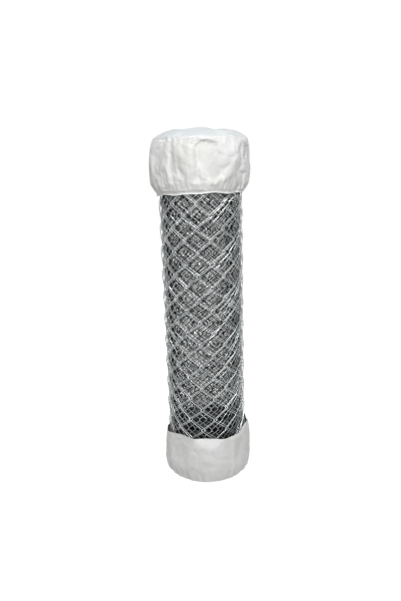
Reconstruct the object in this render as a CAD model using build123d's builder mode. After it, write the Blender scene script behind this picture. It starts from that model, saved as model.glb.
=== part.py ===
"""A roll of galvanised chain link fencing, 2 m high, standing on end with a film wrap over each end.

The fence fabric is a row of pickets. Each picket is one wire, wound into a flat spiral as tall as the
fence, and its bends hook through the bends of the pickets beside it. Every picket stays straight and
flat in the roll, and the fabric turns at the hooks, so a turn of the roll is a polygon of pickets.
The outer turn and the innermost one are here, as the two faces of the wound fabric; the turns
between them lie nested in one another.

Millimetres, +Z up, the roll's axis on Z, the floor at Z = 0 and the front of the roll towards -Y.
"""

import os
from math import asin, cos, pi, radians, sin, sqrt, tan

from build123d import *

# Fence fabric
fence_height = 2000.0
diamond_rows = 15
diamond_width = 147.0
wire_diameter = 3.5
bend_depth = 8.0
bend_rise = 7.0
hook_clearance = 0.3
knuckle_tail = 12.0

# Roll
roll_diameter = 494.0
winding_pitch = 3.5
turns_wound = 16
free_edge_angle = -45.0
free_edge_clearance = 4.0

# Tie wire, drawn tight round the roll under the top wrap's lip
tie_diameter = 2.0
tie_clearance = 1.5
tie_twist_lead = 18.0
tie_twists = 2.5

# Film wraps, which lie in flat folds
film_thickness = 3.0
film_clearance = 0.3
film_folds = 12
fold_tilt = 2.0
top_wrap_height = 270.0
top_wrap_slack = 29.0
top_gather_height = 70.0
top_shoulder_height = 30.0
top_crown_height = 68.0
top_crown_radius = 110.0
bottom_wrap_height = 296.0
bottom_wrap_slack = 15.0
bottom_lip_slack = 10.0
bottom_fold_slack = 2.5
bottom_fold_height = 70.0


# The wire is drawn three-sided, with the section area of the round one.
wire_reach = wire_diameter * sqrt(pi / sqrt(27))

# Hooked bends pass each other by a wire and a clearance, so each runs half of that past the hook line.
picket_pitch = diamond_width / 2
bend_x = picket_pitch / 2 + wire_reach + hook_clearance / 2

fence_base = film_thickness + film_clearance
fence_top = fence_base + fence_height
first_bend_z = fence_base + bend_rise / 2 + wire_reach
last_bend_z = fence_top - bend_rise / 2 - wire_reach
step_rise = (last_bend_z - first_bend_z) / (2 * diamond_rows)

# The bend tips stand proud at each corner of the roll, and are its widest points.
roll_radius = roll_diameter / 2
fabric_reach = bend_depth / 2 + wire_reach
edge_reach = bend_x + wire_reach - picket_pitch / 2
tip_reach = edge_reach * picket_pitch / roll_diameter
hook_radius = roll_radius - fabric_reach - tip_reach


def hook_line(turned, outward=0.0):
    """The point where two pickets hook, after the roll has turned by an angle in radians."""
    radius = hook_radius - winding_pitch * turned / (2 * pi) + outward
    angle = radians(free_edge_angle) - turned
    return Vector(radius * cos(angle), radius * sin(angle), 0)


def next_turned(turned):
    """The angle at which the next hook line is one picket pitch further along the roll."""
    start = hook_line(turned)
    step = 2 * asin(picket_pitch / (2 * start.length))
    for _ in range(6):
        step *= picket_pitch / (hook_line(turned + step) - start).length
    return turned + step


# One picket, seen from outside the roll: X to the right, Y into the roll, bends alternating right and left.
def bend(number):
    """The two ends of a bend, where the wire crosses between the fabric's front and back."""
    side = bend_x if number % 2 == 0 else -bend_x
    depth = bend_depth / 2 if number % 2 == 0 else -bend_depth / 2
    height = first_bend_z + number * step_rise
    return [Vector(side, -depth, height - bend_rise / 2), Vector(side, depth, height + bend_rise / 2)]


bends = [point for number in range(2 * diamond_rows + 1) for point in bend(number)]
# Each end is knuckled: folded back level, to close the last bend round its neighbour's.
knuckle = Vector(knuckle_tail, 0, 0)

with BuildPart() as picket:
    with BuildLine() as wire_run:
        Polyline([bends[0] - knuckle, *bends, bends[-1] - knuckle])
    with BuildSketch(Plane(origin=wire_run.line @ 0, x_dir=(0, 1, 0), z_dir=wire_run.line % 0)):
        RegularPolygon(wire_reach, 3)
    sweep(path=wire_run.line, transition=Transition.RIGHT)


# The pickets along the roll. Every second one is turned end for end, which brings its bends
# to the heights where they hook through the last one's.
middle_across = Axis((0, 0, (fence_base + fence_top) / 2), (0, 1, 0))
turned_picket = picket.part.rotate(middle_across, 180)


def wind_turn(turns_before):
    """The whole pickets of one turn of the roll, and the angles of the hook lines between them."""
    hook_turns = [2 * pi * turns_before]
    edge_gap = (2 * edge_reach + free_edge_clearance) / hook_line(hook_turns[0]).length
    wires = []
    while next_turned(hook_turns[-1]) < hook_turns[0] + 2 * pi - edge_gap:
        hook_turns.append(next_turned(hook_turns[-1]))
        left, right = hook_line(hook_turns[-1]), hook_line(hook_turns[-2])
        place = Plane(origin=(right + left) / 2, x_dir=right - left, z_dir=(0, 0, 1))
        wires.append((turned_picket if len(wires) % 2 else picket.part).moved(place.location))
    return wires, hook_turns


pickets, hook_turns = wind_turn(0)
for number, wire in enumerate(pickets, 1):
    wire.label = f"picket_{number:02d}"
inner_turn = Compound(children=wind_turn(turns_wound - 1)[0], label="inner_turn")


# The tie wire follows the outer turn from hook to hook, and its two ends are twisted
# together at the free edge and hang down.
tie_z = fence_top - top_wrap_height - film_clearance - tie_diameter / 2
tie_reach = fabric_reach + tie_clearance + tie_diameter / 2
tie_corners = [hook_line(turned, tie_reach) + Vector(0, 0, tie_z) for turned in hook_turns]
twist_top = (tie_corners[0] + tie_corners[-1]) / 2
twist_across = (tie_corners[0] - tie_corners[-1]).normalized()
twist_sixths = round(6 * tie_twists)

with BuildPart() as tie_wire:
    with BuildLine() as tie_run:
        first_end = twist_top + twist_across * tie_diameter / 2
        last_end = twist_top - twist_across * tie_diameter / 2
        Polyline([first_end, *tie_corners, last_end])
    with BuildSketch(Plane(origin=tie_run.line @ 0, x_dir=(0, 0, 1), z_dir=tie_run.line % 0)):
        Rectangle(tie_diameter, tie_diameter)
    sweep(path=tie_run.line, transition=Transition.RIGHT)
    for sixth in range(twist_sixths + 1):
        drop = Vector(0, 0, -sixth * tie_twist_lead / 6)
        across = twist_across.rotate(Axis.Z, 60 * sixth)
        with BuildSketch(Plane(origin=twist_top + drop, x_dir=across, z_dir=(0, 0, 1))):
            Rectangle(2 * tie_diameter, tie_diameter)
    loft(ruled=True)
tie_wire.part.label = "tie_wire"


def film_wrap(outside, inside):
    """A wrap round the roll's axis, from the radii and heights down the two faces of its film."""
    half_fold = pi / film_folds
    tilt = radians(fold_tilt)
    reach = 2 * max(radius for radius, height in outside) * tan(half_fold)
    with BuildPart() as fold:
        with BuildSketch(Plane.XZ):
            with BuildLine():
                Polyline([*outside, (0, outside[-1][1]), (0, inside[-1][1]), *reversed(inside)], close=True)
            make_face()
        extrude(amount=reach, dir=(sin(tilt), cos(tilt), 0))
        mirror(about=Plane.XZ)
        for side in (1, -1):
            split(bisect_by=Plane((0, 0, 0), z_dir=(sin(half_fold), side * cos(half_fold), 0)))
    with BuildPart() as wrap:
        with PolarLocations(0, film_folds):
            add(fold.part)
    return wrap.part


def rounded(start, end, steps=3):
    """Points on a quarter of an ellipse that leaves its start upright and meets its end level."""
    turns = [radians(90) * step / steps for step in range(steps + 1)]
    return [
        (end[0] + (start[0] - end[0]) * cos(turn), start[1] + (end[1] - start[1]) * sin(turn))
        for turn in turns
    ]


# The top wrap is gathered in to hug the roll at its lip, and stands off it up to a domed end.
def top_profile(film):
    """Radii and heights of the top wrap, at a distance out from the inside of its film."""
    lip = (roll_radius + film_clearance + film, fence_top - top_wrap_height)
    side = roll_radius + top_wrap_slack + film
    gather = rounded((side, lip[1] + top_gather_height), lip, 2)
    crown = (top_crown_radius, fence_top + top_crown_height + film)
    return [*reversed(gather), *rounded((side, fence_top - top_shoulder_height), crown)]


top_wrap = film_wrap(top_profile(film_thickness), top_profile(0))
top_wrap.label = "top_wrap"


# The bottom wrap is folded flat under the roll and stands loose of it at its lip.
def bottom_profile(film):
    """Radii and heights of the bottom wrap, at a distance out from the inside of its film."""
    lip = (roll_radius + bottom_lip_slack + film, bottom_wrap_height)
    side = roll_radius + bottom_wrap_slack + film
    base = (roll_radius + bottom_fold_slack, film_thickness - film)
    return [lip, *rounded((side, bottom_fold_height), base)]


bottom_wrap = film_wrap(bottom_profile(film_thickness), bottom_profile(0))
bottom_wrap.label = "bottom_wrap"


os.makedirs("parts", exist_ok=True)
for piece in [*pickets, inner_turn, tie_wire.part, top_wrap, bottom_wrap]:
    export_step(piece, f"parts/{piece.label}.step")
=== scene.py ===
from math import asin, atan2, cos, hypot, pi, radians, sin

import bpy
from mathutils import Matrix, Vector, noise


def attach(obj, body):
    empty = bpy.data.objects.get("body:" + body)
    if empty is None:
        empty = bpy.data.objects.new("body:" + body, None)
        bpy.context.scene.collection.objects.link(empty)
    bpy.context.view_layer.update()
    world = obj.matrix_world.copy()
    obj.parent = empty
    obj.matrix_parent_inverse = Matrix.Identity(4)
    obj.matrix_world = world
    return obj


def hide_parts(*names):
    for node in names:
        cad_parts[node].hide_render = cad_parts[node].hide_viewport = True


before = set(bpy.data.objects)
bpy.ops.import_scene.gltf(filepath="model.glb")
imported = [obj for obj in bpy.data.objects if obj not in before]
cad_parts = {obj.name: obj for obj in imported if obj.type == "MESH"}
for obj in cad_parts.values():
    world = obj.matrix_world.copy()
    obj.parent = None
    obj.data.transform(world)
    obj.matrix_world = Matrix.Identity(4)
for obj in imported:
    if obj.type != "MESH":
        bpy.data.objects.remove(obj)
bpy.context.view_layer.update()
bpy.ops.object.select_all(action="DESELECT")
scene = bpy.context.scene
scene.view_settings.view_transform = "Standard"


# Camera
# Held at eye height a long pace off and tipped down at the roll, and turned a little, so that the
# roll leans left at its top.
camera_data = bpy.data.cameras.new("camera")
camera = bpy.data.objects.new("camera", camera_data)
scene.collection.objects.link(camera)
scene.camera = camera
camera_data.sensor_fit = "VERTICAL"
camera_data.sensor_height = 36.0
camera_data.lens = 497.0 / 601.0 * 36.0
camera.matrix_world = (
    Matrix.Translation((-0.0178, -2.919, 1.796))
    @ Matrix.Rotation(radians(90 - 13.78), 4, "X")
    @ Matrix.Rotation(radians(-1.7), 4, "Z")
)


# Galvanised wire
# Hard-drawn steel wire with a hot-dip zinc coat: mottled grey where the zinc has set in crystals,
# with chalky bloom in patches. It is painted darker with each turn further in, as painted shade.
def zinc_coat():
    """Mottle, bloom and fine pitting of a zinc coat, as a group for each wire finish."""
    group = bpy.data.node_groups.new("zinc_coat", "ShaderNodeTree")
    for name, kind in (("Place", "NodeSocketVector"), ("Crystal Scale", "NodeSocketFloat"),
                       ("Bloom", "NodeSocketFloat"), ("Bare Zinc", "NodeSocketColor"),
                       ("Chalk", "NodeSocketColor")):
        group.interface.new_socket(name=name, in_out="INPUT", socket_type=kind)
    group.interface.new_socket(name="Color", in_out="OUTPUT", socket_type="NodeSocketColor")
    group.interface.new_socket(name="Roughness", in_out="OUTPUT", socket_type="NodeSocketFloat")
    group.interface.new_socket(name="Height", in_out="OUTPUT", socket_type="NodeSocketFloat")
    nodes, links = group.nodes, group.links
    inward = nodes.new("NodeGroupInput")
    outward = nodes.new("NodeGroupOutput")
    crystal = nodes.new("ShaderNodeTexVoronoi")
    links.new(inward.outputs["Place"], crystal.inputs["Vector"])
    links.new(inward.outputs["Crystal Scale"], crystal.inputs["Scale"])
    shade = nodes.new("ShaderNodeMapRange")
    shade.inputs["To Min"].default_value = 0.78
    shade.inputs["To Max"].default_value = 1.12
    links.new(crystal.outputs["Color"], shade.inputs["Value"])
    mottled = nodes.new("ShaderNodeVectorMath")
    mottled.operation = "SCALE"
    links.new(inward.outputs["Bare Zinc"], mottled.inputs[0])
    links.new(shade.outputs["Result"], mottled.inputs["Scale"])
    patches = nodes.new("ShaderNodeTexNoise")
    patches.inputs["Scale"].default_value = 9
    patches.inputs["Detail"].default_value = 4
    links.new(inward.outputs["Place"], patches.inputs["Vector"])
    chalky = nodes.new("ShaderNodeMapRange")
    chalky.inputs["From Min"].default_value = 0.5
    chalky.inputs["From Max"].default_value = 0.72
    links.new(patches.outputs["Fac"], chalky.inputs["Value"])
    amount = nodes.new("ShaderNodeMath")
    amount.operation = "MULTIPLY"
    links.new(chalky.outputs["Result"], amount.inputs[0])
    links.new(inward.outputs["Bloom"], amount.inputs[1])
    tint = nodes.new("ShaderNodeMix")
    tint.data_type = "RGBA"
    links.new(amount.outputs["Value"], tint.inputs["Factor"])
    links.new(mottled.outputs["Vector"], tint.inputs["A"])
    links.new(inward.outputs["Chalk"], tint.inputs["B"])
    links.new(tint.outputs["Result"], outward.inputs["Color"])
    rough = nodes.new("ShaderNodeMapRange")
    rough.inputs["To Min"].default_value = 0.24
    rough.inputs["To Max"].default_value = 0.38
    links.new(amount.outputs["Value"], rough.inputs["Value"])
    links.new(rough.outputs["Result"], outward.inputs["Roughness"])
    pits = nodes.new("ShaderNodeTexNoise")
    pits.inputs["Scale"].default_value = 900
    links.new(inward.outputs["Place"], pits.inputs["Vector"])
    links.new(pits.outputs["Fac"], outward.inputs["Height"])
    return group


ZINC = zinc_coat()

galvanised = bpy.data.materials.new("galvanised_wire")
galvanised.use_nodes = True
nodes, links = galvanised.node_tree.nodes, galvanised.node_tree.links
steel = nodes["Principled BSDF"]
steel.inputs["Metallic"].default_value = 0.7
steel.inputs["Specular Tint"].default_value = (0.30, 0.31, 0.31, 1)
place = nodes.new("ShaderNodeTexCoord")
coat = nodes.new("ShaderNodeGroup")
coat.node_tree = ZINC
coat.inputs["Crystal Scale"].default_value = 160
coat.inputs["Bloom"].default_value = 0.6
coat.inputs["Bare Zinc"].default_value = (0.70, 0.74, 0.745, 1)
coat.inputs["Chalk"].default_value = (0.84, 0.85, 0.84, 1)
links.new(place.outputs["Object"], coat.inputs["Place"])
# Each wire's turn, counted from the outside of the roll, is on its mesh.
depth = nodes.new("ShaderNodeAttribute")
depth.attribute_name = "turn"
# Painted shade: the colour is darkened with each turn further in, to nearly black by the seventh.
painted_shade = nodes.new("ShaderNodeMapRange")
painted_shade.inputs["From Min"].default_value = 1.0
painted_shade.inputs["From Max"].default_value = 7.0
painted_shade.inputs["To Min"].default_value = 1.0
painted_shade.inputs["To Max"].default_value = 0.01
links.new(depth.outputs["Fac"], painted_shade.inputs["Value"])
shade_painted_color = nodes.new("ShaderNodeVectorMath")
shade_painted_color.operation = "SCALE"
links.new(coat.outputs["Color"], shade_painted_color.inputs[0])
links.new(painted_shade.outputs["Result"], shade_painted_color.inputs["Scale"])
links.new(shade_painted_color.outputs["Vector"], steel.inputs["Base Color"])
links.new(coat.outputs["Roughness"], steel.inputs["Roughness"])
bump = nodes.new("ShaderNodeBump")
bump.inputs["Distance"].default_value = 0.0002
bump.inputs["Strength"].default_value = 0.5
links.new(coat.outputs["Height"], bump.inputs["Height"])
links.new(bump.outputs["Normal"], steel.inputs["Normal"])


# Picket wires
# Each picket is one wire wound into a flat spiral by the weaving machine, screwed through the last
# one so that their bends hook, then cut at fence height and knuckled back at both ends.
WIRE_RADIUS = 0.00175
FENCE_BASE = 0.0033
FENCE_HEIGHT = 2.0
DIAMOND_ROWS = 15
PICKET_PITCH = 0.0735
BEND_DEPTH = 0.008
BEND_RISE = 0.007
WIRE_REACH = 0.0027215
BEND_X = PICKET_PITCH / 2 + WIRE_REACH + 0.00015
KNUCKLE_TAIL = 0.012


def picket_corners():
    """The corners of one picket's wire, from its lower knuckle to its upper one."""
    first = FENCE_BASE + BEND_RISE / 2 + WIRE_REACH
    step = (FENCE_HEIGHT - BEND_RISE - 2 * WIRE_REACH) / (2 * DIAMOND_ROWS)
    corners = []
    for number in range(2 * DIAMOND_ROWS + 1):
        way = 1 if number % 2 == 0 else -1
        height = first + number * step
        corners.append(Vector((way * BEND_X, -way * BEND_DEPTH / 2, height - BEND_RISE / 2)))
        corners.append(Vector((way * BEND_X, way * BEND_DEPTH / 2, height + BEND_RISE / 2)))
    tail = Vector((KNUCKLE_TAIL, 0, 0))
    return [corners[0] - tail, *corners, corners[-1] - tail]


def bent_line(corners, radius, steps):
    """The wire's line with each corner bent round instead of sharp."""
    line = [corners[0]]
    for before, corner, after in zip(corners, corners[1:], corners[2:]):
        start = corner + (before - corner).normalized() * radius
        end = corner + (after - corner).normalized() * radius
        for number in range(steps + 1):
            t = number / steps
            line.append(start * (1 - t) ** 2 + corner * 2 * t * (1 - t) + end * t * t)
    line.append(corners[-1])
    return line


def drawn_wire(name, line, radius, roundness):
    """A round wire drawn along a line, as a closed mesh with its ends cut square."""
    curve = bpy.data.curves.new(name, "CURVE")
    curve.dimensions = "3D"
    curve.bevel_depth = radius
    curve.bevel_resolution = roundness
    curve.use_fill_caps = True
    spline = curve.splines.new("POLY")
    spline.points.add(len(line) - 1)
    for point, place in zip(spline.points, line):
        point.co = (*place, 1)
    wire = bpy.data.objects.new(name, curve)
    scene.collection.objects.link(wire)
    bpy.ops.object.select_all(action="DESELECT")
    wire.select_set(True)
    bpy.context.view_layer.objects.active = wire
    bpy.ops.object.convert(target="MESH")
    bpy.ops.object.shade_smooth_by_angle(angle=radians(50))
    return wire


# The outer pickets' bends are rounded finely. Those deeper in the roll hardly show, so are plainer.
OUTER_BEND = 0.0032
INNER_BEND = 0.0028
corners = picket_corners()
outer_pattern = drawn_wire("outer_pattern", bent_line(corners, OUTER_BEND, 3), WIRE_RADIUS, 2)
inner_pattern = drawn_wire("inner_pattern", bent_line(corners, INNER_BEND, 1), WIRE_RADIUS, 1)
core_pattern = drawn_wire("core_pattern", corners, WIRE_RADIUS, 0)

ROLL_RADIUS = 0.247
WINDING_PITCH = 0.0035
FREE_EDGE = radians(-45)
HOOK_RADIUS = ROLL_RADIUS - BEND_DEPTH / 2 - WIRE_REACH - (
    (BEND_X + WIRE_REACH - PICKET_PITCH / 2) * PICKET_PITCH / (2 * ROLL_RADIUS)
)
TURNS_WOUND = 16


def hook_line(turned):
    """The point where two pickets hook, after the roll has turned by an angle."""
    radius = HOOK_RADIUS - WINDING_PITCH * turned / (2 * pi)
    return Vector((radius * cos(FREE_EDGE - turned), radius * sin(FREE_EDGE - turned), 0))


def picket_stand(left, right, number, lift, sway):
    """Where picket `number` stands in the roll, between its two hook lines."""
    across = (right - left).normalized()
    inward = Vector((0, 0, 1)).cross(across)
    narrowing = (right - left).length / PICKET_PITCH
    middle = (left + right) / 2 + inward * sway
    stand = Matrix((
        (across.x * narrowing, inward.x, 0, middle.x),
        (across.y * narrowing, inward.y, 0, middle.y),
        (0, 0, 1, lift),
        (0, 0, 0, 1),
    ))
    if number % 2:
        return stand
    # Every second picket is turned end for end, so that its bends meet the last one's.
    centre = Matrix.Translation((0, 0, FENCE_BASE + FENCE_HEIGHT / 2))
    return stand @ centre @ Matrix.Rotation(pi, 4, "Y") @ centre.inverted()


def add_picket(name, pattern, stand, turn):
    """A copy of a pattern wire, set in its place in a turn of the roll."""
    mesh = pattern.data.copy()
    mesh.transform(stand)
    mesh.materials.clear()
    mesh.materials.append(galvanised)
    depths = mesh.attributes.new("turn", "FLOAT", "POINT")
    depths.data.foreach_set("value", [turn] * len(mesh.vertices))
    wire = bpy.data.objects.new(name, mesh)
    scene.collection.objects.link(wire)
    return wire


# The outer turn, picket by picket, each one picket pitch further along the roll.
turned = 0.0
number = 0
outer_hooks = [hook_line(0)]
while f"picket_{number + 1:02d}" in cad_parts:
    number += 1
    right = hook_line(turned)
    step = 2 * asin(PICKET_PITCH / (2 * right.length))
    for _ in range(8):
        step *= PICKET_PITCH / (hook_line(turned + step) - right).length
    turned += step
    left = hook_line(turned)
    outer_hooks.append(left)
    node = f"picket_{number:02d}"
    wire = add_picket(f"{node}_wire", outer_pattern, picket_stand(left, right, number, 0, 0), 1)
    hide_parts(node)
    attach(wire, "root")

# The turns inside it are pulled narrower as the roll is wound, so that their diamonds fall a
# steady part of a diamond aside of the last turn's, and every fifth turn has a diamond less. They
# sit a little unevenly: some wires closer together, higher or further in than others.
SECOND_TURN_PICKETS = 20.47
TURNS_PER_DIAMOND_LESS = 5
PITCH_UNEVENNESS = 0.05
LIFT_UNEVENNESS = 0.009
LOWEST_LIFT = -0.0015
HIGHEST_LIFT = 0.0020
SWAY_UNEVENNESS = 0.0025
LAST_ROUNDED_TURN = 6
CORE_GAP = 0.4


def uneven(turned, quickness, row):
    """A smooth wandering value, from about -1 to 1, along the winding."""
    return noise.noise(Vector((turned * quickness, row, 0)))


turns = {}
while turned < 2 * pi * TURNS_WOUND - CORE_GAP:
    number += 1
    turn = int(turned / (2 * pi) + 0.02) + 1
    right = hook_line(turned)
    step = 2 * pi / (SECOND_TURN_PICKETS - 2 * ((turn - 2) // TURNS_PER_DIAMOND_LESS))
    step *= 1 + PITCH_UNEVENNESS * uneven(turned, 0.45, 5.3)
    turned += step
    left = hook_line(turned)
    lift = LIFT_UNEVENNESS * uneven(turned, 0.35, 3.7)
    lift = max(LOWEST_LIFT, min(HIGHEST_LIFT, lift))
    sway = SWAY_UNEVENNESS * uneven(turned, 0.8, 9.1)
    pattern = inner_pattern if turn <= LAST_ROUNDED_TURN else core_pattern
    stand = picket_stand(left, right, number, lift, sway)
    turns.setdefault(turn, []).append(add_picket(f"wire_{number:03d}", pattern, stand, turn))

for turn, wires in turns.items():
    bpy.ops.object.select_all(action="DESELECT")
    for wire in wires:
        wire.select_set(True)
    bpy.context.view_layer.objects.active = wires[0]
    bpy.ops.object.join()
    wires[0].name = f"turn_{turn:02d}"
    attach(wires[0], "root")
    if turn == TURNS_WOUND:
        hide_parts("inner_turn")

for pattern in (outer_pattern, inner_pattern, core_pattern):
    bpy.data.objects.remove(pattern)


# Tie wire
# Soft annealed wire drawn round the roll under the top film's lip, with its two ends twisted
# together at the fence's free edge. They hang down in a loose curl and part at their tips.
TIE_RADIUS = 0.001
TIE_CLEARANCE = 0.0015
TIE_REACH = BEND_DEPTH / 2 + WIRE_REACH + TIE_CLEARANCE + TIE_RADIUS
TIE_Z = 1.7320
TIE_BEND = 0.005
TWISTS = 2.5
TWIST_LENGTH = 0.06075
TWIST_STEPS = 60
STRAND_OFFSET = 1.3 * TIE_RADIUS
TIP_PARTING = 0.020
TIP_START = 0.80

tie_steel = bpy.data.materials.new("tie_wire")
tie_steel.use_nodes = True
nodes, links = tie_steel.node_tree.nodes, tie_steel.node_tree.links
soft_steel = nodes["Principled BSDF"]
soft_steel.inputs["Metallic"].default_value = 0.15
place = nodes.new("ShaderNodeTexCoord")
coat = nodes.new("ShaderNodeGroup")
coat.node_tree = ZINC
coat.inputs["Crystal Scale"].default_value = 240
coat.inputs["Bloom"].default_value = 0.8
coat.inputs["Bare Zinc"].default_value = (0.92, 0.91, 0.88, 1)
coat.inputs["Chalk"].default_value = (0.80, 0.76, 0.68, 1)
links.new(place.outputs["Object"], coat.inputs["Place"])
links.new(coat.outputs["Color"], soft_steel.inputs["Base Color"])
links.new(coat.outputs["Roughness"], soft_steel.inputs["Roughness"])

tie_corners = [
    hook * (1 + TIE_REACH / hook.length) + Vector((0, 0, TIE_Z)) for hook in outer_hooks
]
twist_top = (tie_corners[0] + tie_corners[-1]) / 2
across = (tie_corners[0] - tie_corners[-1]).normalized()
outward = Vector((twist_top.x, twist_top.y, 0)).normalized()
ring_start = twist_top + across * TIE_RADIUS
ring_end = twist_top - across * TIE_RADIUS
ring = bent_line([ring_start, *tie_corners, ring_end], TIE_BEND, 3)
tie_pieces = [drawn_wire("tie_ring", ring, TIE_RADIUS, 2)]
for side in (1, -1):
    strand = []
    for count in range(TWIST_STEPS + 1):
        along = count / TWIST_STEPS
        twisted = 2 * pi * TWISTS * along
        spread = STRAND_OFFSET + TIP_PARTING * max(0.0, along - TIP_START) / (1 - TIP_START)
        curl = across * (0.045 * along + 0.022 * sin(3 * pi * along))
        curl += outward * (0.014 * sin(0.8 * pi * along))
        drop = Vector((0, 0, -TWIST_LENGTH * along))
        wound = (across * cos(twisted) + outward * sin(twisted)) * side * spread
        strand.append(twist_top + curl + wound + drop)
    tie_pieces.append(drawn_wire(f"tie_end_{side}", strand, TIE_RADIUS, 2))
bpy.ops.object.select_all(action="DESELECT")
for piece in tie_pieces:
    piece.data.materials.clear()
    piece.data.materials.append(tie_steel)
    piece.select_set(True)
bpy.context.view_layer.objects.active = tie_pieces[0]
bpy.ops.object.join()
tie_pieces[0].name = "tie_twisted"
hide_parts("tie_wire")
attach(tie_pieces[0], "root")


# Film
# Thin white polythene: it lies in small sharp creases, with a satin gloss. Over the roll's end its
# colour is painted a darker, bluer grey, as painted shade for the film's top.
def ridges(group, place, scale):
    """Distance from the sharp folds of a crumpled sheet, as a value."""
    wave = group.nodes.new("ShaderNodeTexNoise")
    wave.inputs["Scale"].default_value = scale
    wave.inputs["Detail"].default_value = 1.5
    wave.inputs["Roughness"].default_value = 0.4
    group.links.new(place, wave.inputs["Vector"])
    centred = group.nodes.new("ShaderNodeMath")
    centred.operation = "SUBTRACT"
    centred.inputs[1].default_value = 0.5
    group.links.new(wave.outputs["Fac"], centred.inputs[0])
    folded = group.nodes.new("ShaderNodeMath")
    folded.operation = "ABSOLUTE"
    group.links.new(centred.outputs["Value"], folded.inputs[0])
    return folded.outputs["Value"]


def film_creases():
    """Crumpling of thin film: long sharp creases over finer ones, as a height and a mask."""
    group = bpy.data.node_groups.new("film_creases", "ShaderNodeTree")
    for name, kind in (("Place", "NodeSocketVector"), ("Crease Scale", "NodeSocketFloat")):
        group.interface.new_socket(name=name, in_out="INPUT", socket_type=kind)
    group.interface.new_socket(name="Height", in_out="OUTPUT", socket_type="NodeSocketFloat")
    group.interface.new_socket(name="Crease", in_out="OUTPUT", socket_type="NodeSocketFloat")
    nodes, links = group.nodes, group.links
    inward = nodes.new("NodeGroupInput")
    outward = nodes.new("NodeGroupOutput")
    scaled = nodes.new("ShaderNodeVectorMath")
    scaled.operation = "SCALE"
    links.new(inward.outputs["Place"], scaled.inputs[0])
    links.new(inward.outputs["Crease Scale"], scaled.inputs["Scale"])
    swirl = nodes.new("ShaderNodeTexNoise")
    swirl.inputs["Scale"].default_value = 1.3
    swirl.inputs["Detail"].default_value = 3
    links.new(scaled.outputs["Vector"], swirl.inputs["Vector"])
    bent = nodes.new("ShaderNodeMix")
    bent.data_type = "VECTOR"
    bent.inputs["Factor"].default_value = 0.45
    links.new(scaled.outputs["Vector"], bent.inputs["A"])
    links.new(swirl.outputs["Color"], bent.inputs["B"])
    folds = ridges(group, bent.outputs["Result"], 1.4)
    small = ridges(group, bent.outputs["Result"], 3.4)
    line = nodes.new("ShaderNodeMapRange")
    line.inputs["From Max"].default_value = 0.05
    line.inputs["To Min"].default_value = 1.0
    line.inputs["To Max"].default_value = 0.0
    links.new(folds, line.inputs["Value"])
    links.new(line.outputs["Result"], outward.inputs["Crease"])
    tall = nodes.new("ShaderNodeMath")
    tall.operation = "MULTIPLY_ADD"
    tall.inputs[1].default_value = 0.5
    links.new(small, tall.inputs[0])
    links.new(folds, tall.inputs[2])
    links.new(tall.outputs["Value"], outward.inputs["Height"])
    return group


CREASES = film_creases()

film = bpy.data.materials.new("wrap_film")
film.use_nodes = True
nodes, links = film.node_tree.nodes, film.node_tree.links
sheet_shader = nodes["Principled BSDF"]
sheet_shader.inputs["IOR"].default_value = 1.5
place = nodes.new("ShaderNodeTexCoord")
creases = nodes.new("ShaderNodeGroup")
creases.node_tree = CREASES
creases.inputs["Crease Scale"].default_value = 7.0
links.new(place.outputs["Object"], creases.inputs["Place"])
apart = nodes.new("ShaderNodeSeparateXYZ")
links.new(place.outputs["Object"], apart.inputs["Vector"])
# Painted shade: from the rim up, the film's colour turns to a darker bluish grey.
over_end = nodes.new("ShaderNodeMapRange")
over_end.inputs["From Min"].default_value = 1.995
over_end.inputs["From Max"].default_value = 2.012
links.new(apart.outputs["Z"], over_end.inputs["Value"])
cloudy = nodes.new("ShaderNodeTexNoise")
cloudy.inputs["Scale"].default_value = 6
cloudy.inputs["Detail"].default_value = 5
links.new(place.outputs["Object"], cloudy.inputs["Vector"])
milky = nodes.new("ShaderNodeValToRGB")
milky.color_ramp.elements[0].position = 0.35
milky.color_ramp.elements[0].color = (0.69, 0.69, 0.665, 1)
milky.color_ramp.elements[1].position = 0.65
milky.color_ramp.elements[1].color = (0.77, 0.775, 0.77, 1)
links.new(cloudy.outputs["Fac"], milky.inputs["Fac"])
end_painted_shade = nodes.new("ShaderNodeMix")
end_painted_shade.data_type = "RGBA"
end_painted_shade.inputs["B"].default_value = (0.64, 0.68, 0.69, 1)
links.new(over_end.outputs["Result"], end_painted_shade.inputs["Factor"])
links.new(milky.outputs["Color"], end_painted_shade.inputs["A"])
# The colour is whitened along the creases, and along the rim as a painted highlight.
whitened = nodes.new("ShaderNodeMix")
whitened.data_type = "RGBA"
whitened.inputs["B"].default_value = (0.90, 0.90, 0.90, 1)
faint = nodes.new("ShaderNodeMath")
faint.operation = "MULTIPLY"
faint.inputs[1].default_value = 0.35
links.new(creases.outputs["Crease"], faint.inputs[0])
# A painted highlight: the colour is whitened in a wavering line along the rim of the roll.
waver = nodes.new("ShaderNodeTexNoise")
waver.inputs["Scale"].default_value = 7
waver.inputs["Detail"].default_value = 2
links.new(place.outputs["Object"], waver.inputs["Vector"])
wavered = nodes.new("ShaderNodeMath")
wavered.operation = "MULTIPLY_ADD"
wavered.inputs[1].default_value = 0.045
links.new(waver.outputs["Fac"], wavered.inputs[0])
links.new(apart.outputs["Z"], wavered.inputs[2])
off_rim = nodes.new("ShaderNodeMath")
off_rim.operation = "SUBTRACT"
off_rim.inputs[1].default_value = 2.0245
links.new(wavered.outputs["Value"], off_rim.inputs[0])
beside_rim = nodes.new("ShaderNodeMath")
beside_rim.operation = "ABSOLUTE"
links.new(off_rim.outputs["Value"], beside_rim.inputs[0])
rim_painted_highlight = nodes.new("ShaderNodeMapRange")
rim_painted_highlight.inputs["From Max"].default_value = 0.004
rim_painted_highlight.inputs["To Min"].default_value = 0.75
rim_painted_highlight.inputs["To Max"].default_value = 0.0
links.new(beside_rim.outputs["Value"], rim_painted_highlight.inputs["Value"])
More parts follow.
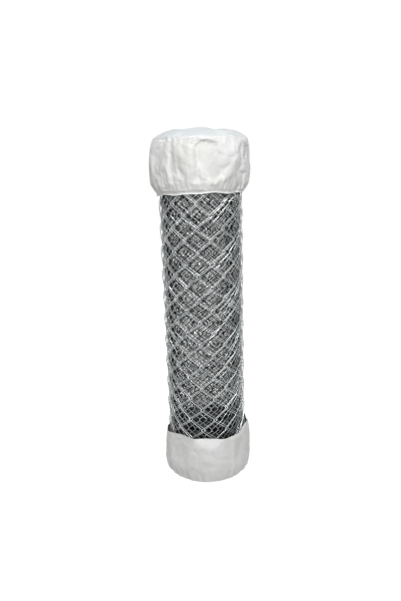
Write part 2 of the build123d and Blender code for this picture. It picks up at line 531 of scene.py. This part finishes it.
crease_white_and_rim_highlight = nodes.new("ShaderNodeMath")
crease_white_and_rim_highlight.operation = "MAXIMUM"
links.new(faint.outputs["Value"], crease_white_and_rim_highlight.inputs[0])
links.new(rim_painted_highlight.outputs["Result"], crease_white_and_rim_highlight.inputs[1])
links.new(crease_white_and_rim_highlight.outputs["Value"], whitened.inputs["Factor"])
links.new(end_painted_shade.outputs["Result"], whitened.inputs["A"])
links.new(whitened.outputs["Result"], sheet_shader.inputs["Base Color"])
satin = nodes.new("ShaderNodeMapRange")
satin.inputs["To Min"].default_value = 0.34
satin.inputs["To Max"].default_value = 0.55
links.new(cloudy.outputs["Fac"], satin.inputs["Value"])
links.new(satin.outputs["Result"], sheet_shader.inputs["Roughness"])
bump = nodes.new("ShaderNodeBump")
bump.inputs["Distance"].default_value = 0.02
bump.inputs["Strength"].default_value = 0.8
links.new(creases.outputs["Height"], bump.inputs["Height"])
links.new(bump.outputs["Normal"], sheet_shader.inputs["Normal"])


def spun_film(name, profile, panels):
    """A film wrap spun round the roll's axis from its profile, given as radii and heights."""
    curve = bpy.data.curves.new(name, "CURVE")
    curve.dimensions = "3D"
    curve.resolution_u = 7
    spline = curve.splines.new("BEZIER")
    spline.bezier_points.add(len(profile) - 1)
    for point, (radius, height) in zip(spline.bezier_points, profile):
        point.co = (0, -radius, height)
        point.handle_left_type = point.handle_right_type = "AUTO"
    wrap = bpy.data.objects.new(name, curve)
    scene.collection.objects.link(wrap)
    bpy.ops.object.select_all(action="DESELECT")
    wrap.select_set(True)
    bpy.context.view_layer.objects.active = wrap
    bpy.ops.object.convert(target="MESH")
    for vertex in wrap.data.vertices:
        if vertex.co.y > -0.0005:
            vertex.co.y = 0
    bpy.ops.object.mode_set(mode="EDIT")
    bpy.ops.mesh.select_all(action="SELECT")
    bpy.ops.mesh.spin(steps=panels, angle=2 * pi, center=(0, 0, 0), axis=(0, 0, 1))
    bpy.ops.mesh.select_all(action="SELECT")
    bpy.ops.mesh.remove_doubles(threshold=0.0002)
    bpy.ops.mesh.normals_make_consistent(inside=False)
    bpy.ops.object.mode_set(mode="OBJECT")
    wrap.data.materials.clear()
    wrap.data.materials.append(film)
    return wrap


def about(place):
    """How far round the roll a place is from its front, in radians, to the right as seen."""
    return atan2(place.x, -place.y)


def moved_out(place, out, up=0.0):
    """A place moved out from the roll's axis and up."""
    flat = Vector((place.x, place.y, 0))
    way = flat.normalized() if flat.length > 1e-6 else Vector((0, 0, 0))
    return place + way * out + Vector((0, 0, up))


def crumple(wrap, held, growth, steps, most):
    """Let the film, a little too large for its place, buckle against the roll, held in places."""
    before = [vertex.co.copy() for vertex in wrap.data.vertices]
    # The wound fabric, a hair inside its own surface, as the film feels it.
    bpy.ops.mesh.primitive_cylinder_add(
        vertices=64, radius=ROLL_RADIUS - 0.001, depth=FENCE_HEIGHT,
        location=(0, 0, FENCE_BASE + FENCE_HEIGHT / 2 - 0.001),
    )
    wound = bpy.context.object
    wound.modifiers.new("Collision", "COLLISION")
    wound.collision.thickness_outer = 0.002
    pins = wrap.vertex_groups.new(name="held")
    for vertex in wrap.data.vertices:
        pins.add([vertex.index], held(vertex.co), "REPLACE")
    cloth = wrap.modifiers.new("Cloth", "CLOTH")
    cloth.settings.quality = 6
    cloth.settings.mass = 0.12
    cloth.settings.tension_stiffness = cloth.settings.compression_stiffness = 20
    cloth.settings.shear_stiffness = 8
    cloth.settings.bending_stiffness = 0.15
    cloth.settings.shrink_min = -growth
    cloth.settings.vertex_group_mass = "held"
    cloth.settings.effector_weights.gravity = 0.0
    cloth.collision_settings.distance_min = 0.002
    cloth.point_cache.frame_end = steps
    for step in range(1, steps + 1):
        scene.frame_set(step)
    settled = wrap.evaluated_get(bpy.context.evaluated_depsgraph_get()).data
    after = [vertex.co.copy() for vertex in settled.vertices]
    scene.frame_set(1)
    wrap.modifiers.remove(cloth)
    wrap.vertex_groups.remove(pins)
    bpy.data.objects.remove(wound)
    for vertex, start, end in zip(wrap.data.vertices, before, after):
        move = end - start
        if move.length > most:
            move *= most / move.length
        vertex.co = start + move


def finish_film(wrap, node):
    """Subdivide the film, smooth it, and set it in place of the CAD node that it stands for."""
    bpy.ops.object.select_all(action="DESELECT")
    wrap.select_set(True)
    bpy.context.view_layer.objects.active = wrap
    finer = wrap.modifiers.new("Subdivision", "SUBSURF")
    finer.levels = finer.render_levels = 1
    bpy.ops.object.modifier_apply(modifier=finer.name)
    bpy.ops.object.shade_smooth()
    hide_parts(node)
    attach(wrap, "root")


# Top film
# A length of the film wound round the roll's upper end and folded over it: it bags out from the
# wires, and is drawn in to them at its lip by tight gathers.
TOP_PROFILE = (
    (0.2520, 1.7215), (0.2495, 1.7260), (0.2590, 1.7420), (0.2740, 1.7740), (0.2810, 1.8300),
    (0.2820, 1.9000), (0.2790, 1.9500), (0.2700, 1.9790), (0.2580, 1.9945), (0.2380, 2.0110),
    (0.2000, 2.0330), (0.1450, 2.0530), (0.0750, 2.0680), (0.0000, 2.0710),
)
TOP_LIP = 1.723
TOP_HELD_BELOW = 1.737
CROWN_BASE = 2.0
CROWN_RISE = 0.07
top_film = spun_film("top_film", TOP_PROFILE, 180)
for vertex in top_film.data.vertices:
    place = vertex.co.copy()
    round_by = about(place)
    above_lip = place.z - TOP_LIP
    girdle = Vector((sin(round_by), cos(round_by), place.z * 0.8))
    # Broad lumps, and gathers near the lip that are deepest at the right front.
    lump = 0.007 * noise.noise(girdle * 1.7) * min(1, above_lip / 0.05)
    gathered = max(0.0, 1 - above_lip / 0.10)
    drawn_in = max(0.0, 1 - abs(round_by - radians(50)) / radians(26))
    gather = abs(noise.noise(girdle * 11 + Vector((0, 0, 5)))) * 2 - 0.5
    out = lump + 0.008 * gathered * (0.4 + 1.4 * drawn_in) * gather
    if hypot(place.x, place.y) < 0.10:
        out = 0
    # The lip wavers and hangs lower at the left, and the crown is higher at the right.
    at_left = (1 - sin(round_by)) / 2
    lip = 0.012 * noise.noise(girdle * 2.3) - 0.008 * at_left
    up = lip * max(0.0, 1 - above_lip / 0.06)
    up += 0.04 * place.x * max(0.0, (place.z - CROWN_BASE) / CROWN_RISE)
    vertex.co = moved_out(place, out, up)
crumple(
    top_film,
    lambda place: float(place.z < TOP_HELD_BELOW or hypot(place.x, place.y) < 0.05),
    growth=0.045, steps=26, most=0.016,
)
finish_film(top_film, "top_wrap")


# Bottom film
# The same film round the roll's foot, tucked flat under it by the roll's weight. Its upper edge is
# free, and where its ends overlap one stands off the other.
BOTTOM_PROFILE = (
    (0.2620, 0.2950), (0.2645, 0.2600), (0.2670, 0.1900), (0.2675, 0.1200), (0.2650, 0.0700),
    (0.2620, 0.0340), (0.2550, 0.0100), (0.2400, 0.0030), (0.1900, 0.0016), (0.1000, 0.0016),
    (0.0000, 0.0016),
)
UNDERSIDE_TOP = 0.004
BOTTOM_LIP = 0.29
BOTTOM_HELD_BELOW = 0.012
OVERLAP_AT = radians(31)
OVERLAP_WIDTH = 0.5
OVERLAP_STANDS_OFF = 0.0045
bottom_film = spun_film("bottom_film", BOTTOM_PROFILE, 172)
for vertex in bottom_film.data.vertices:
    place = vertex.co.copy()
    if place.z < UNDERSIDE_TOP:
        continue
    round_by = about(place)
    girdle = Vector((sin(round_by), cos(round_by), place.z * 1.2))
    rise = min(1.0, place.z / BOTTOM_LIP)
    # The lip is lower at the back, dips at the left and stands up in a flap at the right.
    dip = -0.030 * (1 - cos(round_by)) / 2 + 0.008 * noise.noise(girdle * 2.1)
    dip -= 0.060 * max(0.0, 1 - abs(round_by + radians(112)) / radians(50))
    flap = 0.050 * max(0.0, 1 - abs(round_by - radians(66)) / radians(20)) ** 0.8
    # Broad lumps, and pleats where it is tucked in at the foot.
    lump = 0.006 * noise.noise(girdle * 1.9) * min(1, place.z / 0.06)
    pleat_place = Vector((sin(round_by) * 7, cos(round_by) * 7, place.z * 3))
    pleat = abs(noise.noise(pleat_place)) * 2 - 0.4
    tuck = max(0.0, 1 - place.z / 0.11) * min(1, place.z / 0.02)
    out = lump - 0.010 * tuck * pleat + 0.003 * sin(round_by) * rise
    vertex.co = moved_out(place, out, rise * (dip + flap))
crumple(
    bottom_film,
    lambda place: float(place.z < BOTTOM_HELD_BELOW),
    growth=0.035, steps=26, most=0.013,
)
for vertex in bottom_film.data.vertices:
    vertex.co.z = max(vertex.co.z, 0.0008)
    past = about(vertex.co) - OVERLAP_AT - 0.10 * (vertex.co.z - 0.15)
    if 0 < past < OVERLAP_WIDTH and vertex.co.z > 0.02:
        vertex.co = moved_out(vertex.co, OVERLAP_STANDS_OFF * (1 - past / OVERLAP_WIDTH))
finish_film(bottom_film, "bottom_wrap")


# Floor and backdrop
# A white ground that keeps the roll's shadow, under a soft white sky. The camera and reflections
# see both as plain white, which adds nothing to the light on matt surfaces.
def seen_white(nodes, links):
    """A mask of the rays that come from the camera, or by reflection or through a clear piece."""
    rays = nodes.new("ShaderNodeLightPath")
    mirrored = nodes.new("ShaderNodeMath")
    mirrored.operation = "MAXIMUM"
    links.new(rays.outputs["Is Glossy Ray"], mirrored.inputs[0])
    links.new(rays.outputs["Is Transmission Ray"], mirrored.inputs[1])
    seen = nodes.new("ShaderNodeMath")
    seen.operation = "MAXIMUM"
    links.new(rays.outputs["Is Camera Ray"], seen.inputs[0])
    links.new(mirrored.outputs["Value"], seen.inputs[1])
    return seen.outputs["Value"]


bpy.ops.object.select_all(action="DESELECT")
bpy.ops.mesh.primitive_plane_add(size=12, location=(0, 0, 0))
floor = bpy.context.object
floor.name = "floor"
white_ground = bpy.data.materials.new("white_ground")
white_ground.use_nodes = True
nodes, links = white_ground.node_tree.nodes, white_ground.node_tree.links
ground = nodes["Principled BSDF"]
ground.inputs["Base Color"].default_value = (0.35, 0.35, 0.35, 1)
ground.inputs["Roughness"].default_value = 0.9
glow = nodes.new("ShaderNodeEmission")
glow.inputs["Color"].default_value = (1, 1, 1, 1)
whiter = nodes.new("ShaderNodeMath")
whiter.operation = "MULTIPLY"
whiter.inputs[1].default_value = 0.9
links.new(seen_white(nodes, links), whiter.inputs[0])
links.new(whiter.outputs["Value"], glow.inputs["Strength"])
# The glow lifts the ground to white, and the light on the ground under it keeps the roll's shadow.
lifted = nodes.new("ShaderNodeAddShader")
links.new(ground.outputs["BSDF"], lifted.inputs[0])
links.new(glow.outputs["Emission"], lifted.inputs[1])
links.new(lifted.outputs["Shader"], nodes["Material Output"].inputs["Surface"])
floor.data.materials.append(white_ground)

world = bpy.data.worlds.new("studio")
scene.world = world
world.use_nodes = True
nodes, links = world.node_tree.nodes, world.node_tree.links
sky = nodes["Background"]
sky.inputs["Color"].default_value = (1, 1, 1, 1)
sky.inputs["Strength"].default_value = 0.38
behind = nodes.new("ShaderNodeBackground")
behind.inputs["Color"].default_value = (1, 1, 1, 1)
behind.inputs["Strength"].default_value = 1.0
blend = nodes.new("ShaderNodeMixShader")
links.new(seen_white(nodes, links), blend.inputs["Fac"])
links.new(sky.outputs["Background"], blend.inputs[1])
links.new(behind.outputs["Background"], blend.inputs[2])
links.new(blend.outputs["Shader"], nodes["World Output"].inputs["Surface"])


def softbox(name, place, aim, size, power):
    """A large soft studio lamp."""
    lamp = bpy.data.lights.new(name, "AREA")
    lamp.shape = "RECTANGLE"
    lamp.size, lamp.size_y = size
    lamp.energy = power
    box = bpy.data.objects.new(name, lamp)
    scene.collection.objects.link(box)
    box.location = place
    box.rotation_euler = (Vector(aim) - Vector(place)).to_track_quat("-Z", "Y").to_euler()


softbox("key_lamp", (0.2, -3.2, 4.6), (0, 0, 1.2), (2.0, 2.2), 125)
softbox("fill_lamp", (0.4, -4.8, 1.4), (0, 0, 0.9), (1.2, 1.2), 45)
